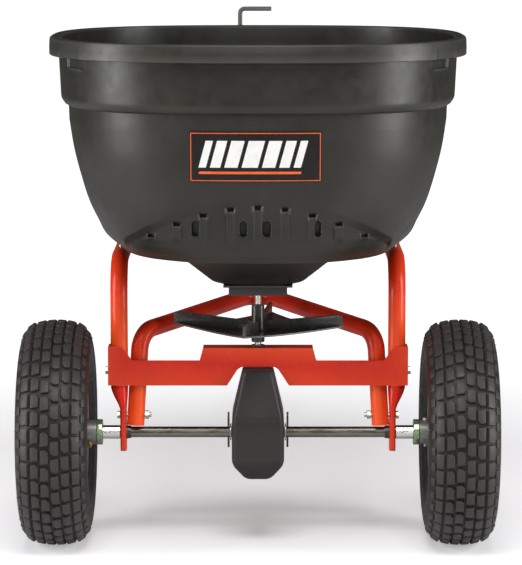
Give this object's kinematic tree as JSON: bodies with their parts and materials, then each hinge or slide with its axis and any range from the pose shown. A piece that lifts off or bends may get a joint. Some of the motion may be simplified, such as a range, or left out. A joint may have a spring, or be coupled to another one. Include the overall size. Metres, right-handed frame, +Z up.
{
  "type": "garden spreader",
  "caption": "Tow-behind broadcast spreader: rounded-square hopper on a tubular frame with pneumatic wheels, geared impeller, slide gate, lever and hitch.",
  "frame": {"origin": "centre of the bounding box on the ground plane the wheels stand on", "axes": "+Z up, +Y forward towards the tow vehicle, +X to the right seen from behind"},
  "size_m": [0.6922, 1.1962, 0.7691],
  "materials": {
    "hopper_poly": "fine-grained dark charcoal moulding",
    "orange_coat": "orange-red powder coat, satin gloss",
    "black_plastic": "black moulded plastic, lightly textured",
    "black_coat": "black coated steel",
    "zinc_steel": "zinc plate with a faint green tint",
    "bright_steel": "bright drawn steel",
    "tyre_rubber": "dark grey rubber with block tread",
    "rim_paint": "grey paint with a faint mauve tint",
    "label_film": "dark printed film with an orange edge line",
    "brass": "plain"
  },
  "bodies": {
    "frame": {"hopper": "hopper_poly", "frame_tube_left": "orange_coat", "frame_tube_right": "orange_coat", "cross_plate": "orange_coat", "crossover_tube": "orange_coat", "tongue_tube": "orange_coat", "front_bar": "orange_coat", "tongue_hanger": "orange_coat", "hitch_plate_upper": "orange_coat", "hitch_plate_lower": "orange_coat", "lever_bracket": "orange_coat", "gate_guide": "black_plastic", "gearbox_housing_front": "black_plastic", "gearbox_housing_rear": "black_plastic", "axle_bushing_left": "black_plastic", "axle_bushing_right": "black_plastic", "plate_bushing": "black_plastic", "hopper_bushing": "black_plastic", "tongue_bolt": "zinc_steel", "hanger_bolt": "zinc_steel", "hopper_bolt_left": "zinc_steel", "hopper_bolt_right": "zinc_steel", "hitch_bolt": "zinc_steel", "lever_pivot_bolt": "zinc_steel", "side_bolt_left": "zinc_steel", "side_bolt_right": "zinc_steel", "crossover_bolt_left": "zinc_steel", "crossover_bolt_right": "zinc_steel", "crossover_nut_left": "zinc_steel", "crossover_nut_right": "zinc_steel", "label_panel": "label_film"},
    "drive_axle": {"axle": "zinc_steel", "axle_gear": "bright_steel", "axle_sleeve_left": "bright_steel", "axle_sleeve_right": "bright_steel", "gearbox_washer_left": "zinc_steel", "gearbox_washer_right": "zinc_steel", "gearbox_cotter_left": "zinc_steel", "gearbox_cotter_right": "zinc_steel", "end_washer_left": "zinc_steel", "end_washer_right": "zinc_steel", "end_cotter_left": "zinc_steel", "end_cotter_right": "zinc_steel", "drive_pin": "zinc_steel", "wheel_rim_right": "rim_paint", "tyre_right": "tyre_rubber", "hub_washer_right": "zinc_steel"},
    "idle_wheel": {"wheel_rim_left": "rim_paint", "tyre_left": "tyre_rubber", "hub_washer_left": "zinc_steel", "grease_fitting": "brass"},
    "impeller_unit": {"impeller_shaft": "bright_steel", "impeller": "black_plastic", "impeller_pin": "bright_steel", "pinion": "bright_steel", "agitator": "bright_steel"},
    "gate": {"slide_gate": "zinc_steel", "gate_link": "zinc_steel"},
    "lever": {"flow_lever": "black_coat"},
    "hitch_pin": {"hitch_pin": "zinc_steel"}
  },
  "joints": [
    {"name": "axle_spin", "type": "hinge", "parent": "frame", "child": "drive_axle", "pos_m": [0, -0.3085, 0.165], "axis": [1, 0, 0], "continuous": true},
    {"name": "idle_wheel_spin", "type": "hinge", "parent": "frame", "child": "idle_wheel", "pos_m": [-0.2943, -0.3085, 0.165], "axis": [1, 0, 0], "continuous": true},
    {"name": "impeller_spin", "type": "hinge", "parent": "frame", "child": "impeller_unit", "pos_m": [0, -0.3085, 0.325], "axis": [0, 0, 1], "continuous": true},
    {"name": "lever_swing", "type": "hinge", "parent": "frame", "child": "lever", "pos_m": [-0.029, 0.1415, 0.30462], "axis": [-1, 0, 0], "range_deg": [0, 24]},
    {"name": "gate_slide", "type": "slide", "parent": "frame", "child": "gate", "axis": [0, 1, 0], "range_m": [0, 0.03]},
    {"name": "hitch_pin_lift", "type": "slide", "parent": "frame", "child": "hitch_pin", "axis": [0, 0, 1], "range_m": [0, 0.045]}
  ],
  "couplings": [
    {"joint": "impeller_spin", "follows": "axle_spin", "ratio": -4},
    {"joint": "gate_slide", "follows": "lever_swing", "m_per_rad": 0.071619}
  ]
}
